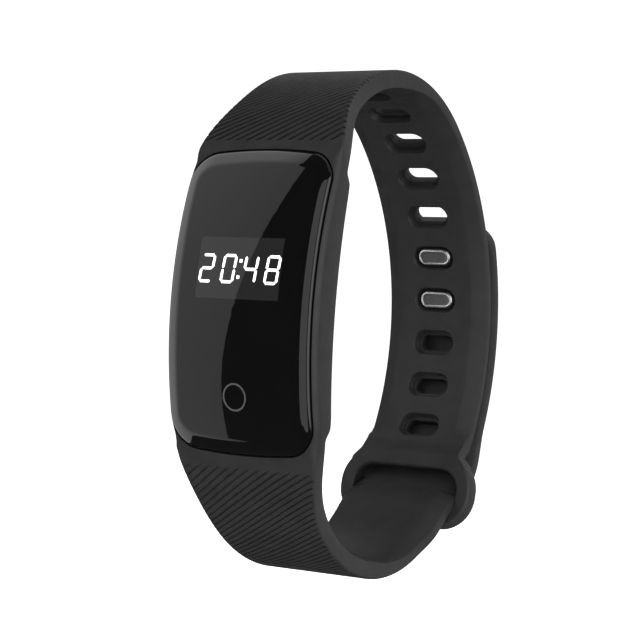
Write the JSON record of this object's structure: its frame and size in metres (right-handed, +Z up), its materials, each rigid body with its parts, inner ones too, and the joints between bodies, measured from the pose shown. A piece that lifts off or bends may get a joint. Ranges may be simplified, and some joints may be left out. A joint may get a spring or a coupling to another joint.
{
  "type": "fitness tracker band",
  "caption": "Wrist fitness tracker: a long curved glass module in a matte silicone strap with slots, a keeper loop and a peg clasp.",
  "frame": {"origin": "middle of the wrist opening, halfway across the strap", "axes": "+X along the arm, -Y out of the glass, +Z up along the module's length"},
  "size_m": [0.0224, 0.054, 0.066],
  "materials": {
    "silicone": "matte moulded silicone",
    "metal": "polished steel",
    "glass": "gloss black display cover",
    "black_plastic": "matte black moulding",
    "foam": "dark foam",
    "film": "black printed film",
    "panel": "display panel",
    "flex": "amber polyimide flex",
    "board": "green circuit board",
    "chip": "black chip package",
    "ceramic": "off-white ceramic",
    "copper": "bare copper foil",
    "foil": "grey foil pouch",
    "steel": "pressed steel",
    "tungsten": "dark heavy alloy",
    "gold": "gold-plated contact"
  },
  "bodies": {
    "band": {"carrier": "silicone", "hole_strap": "silicone", "keeper_loop": "silicone", "lower_strap": "silicone"},
    "tail": {"tail_strap": "silicone", "clasp_plate": "metal", "clasp_pegs": "metal"},
    "module": {"cover_glass": "glass", "glass_gasket": "film", "mask_film": "film", "oled_panel": "panel", "oled_foam": "foam", "oled_flex": "flex", "touch_electrode": "copper", "touch_flex": "flex", "mid_frame": "black_plastic", "rear_seal": "foam", "main_board": "board", "radio_chip": "chip", "flash_chip": "chip", "accelerometer": "chip", "crystal": "steel", "charger_chip": "chip", "antenna": "ceramic", "battery_cell": "foil", "battery_foam": "foam", "battery_board": "board", "motor_can": "steel", "motor_base": "steel", "motor_shaft": "steel", "motor_pad": "foam", "rear_cover": "black_plastic", "charge_contacts": "gold"},
    "rotor": {"motor_weight": "tungsten"}
  },
  "joints": [
    {"name": "tail_peel", "type": "hinge", "parent": "band", "child": "tail", "pos_m": [0, 0.02451, -0.00532], "axis": [-1, 0, 0], "range_deg": [0, 40], "stiffness_Nm_per_rad": 0.02},
    {"name": "module_release", "type": "slide", "parent": "band", "child": "module", "axis": [0, -1, 0], "range_m": [0, 0.012]},
    {"name": "motor_spin", "type": "hinge", "parent": "module", "child": "rotor", "pos_m": [0.0034, -0.0238, 0.0098], "axis": [0, 1, 0], "continuous": true}
  ]
}
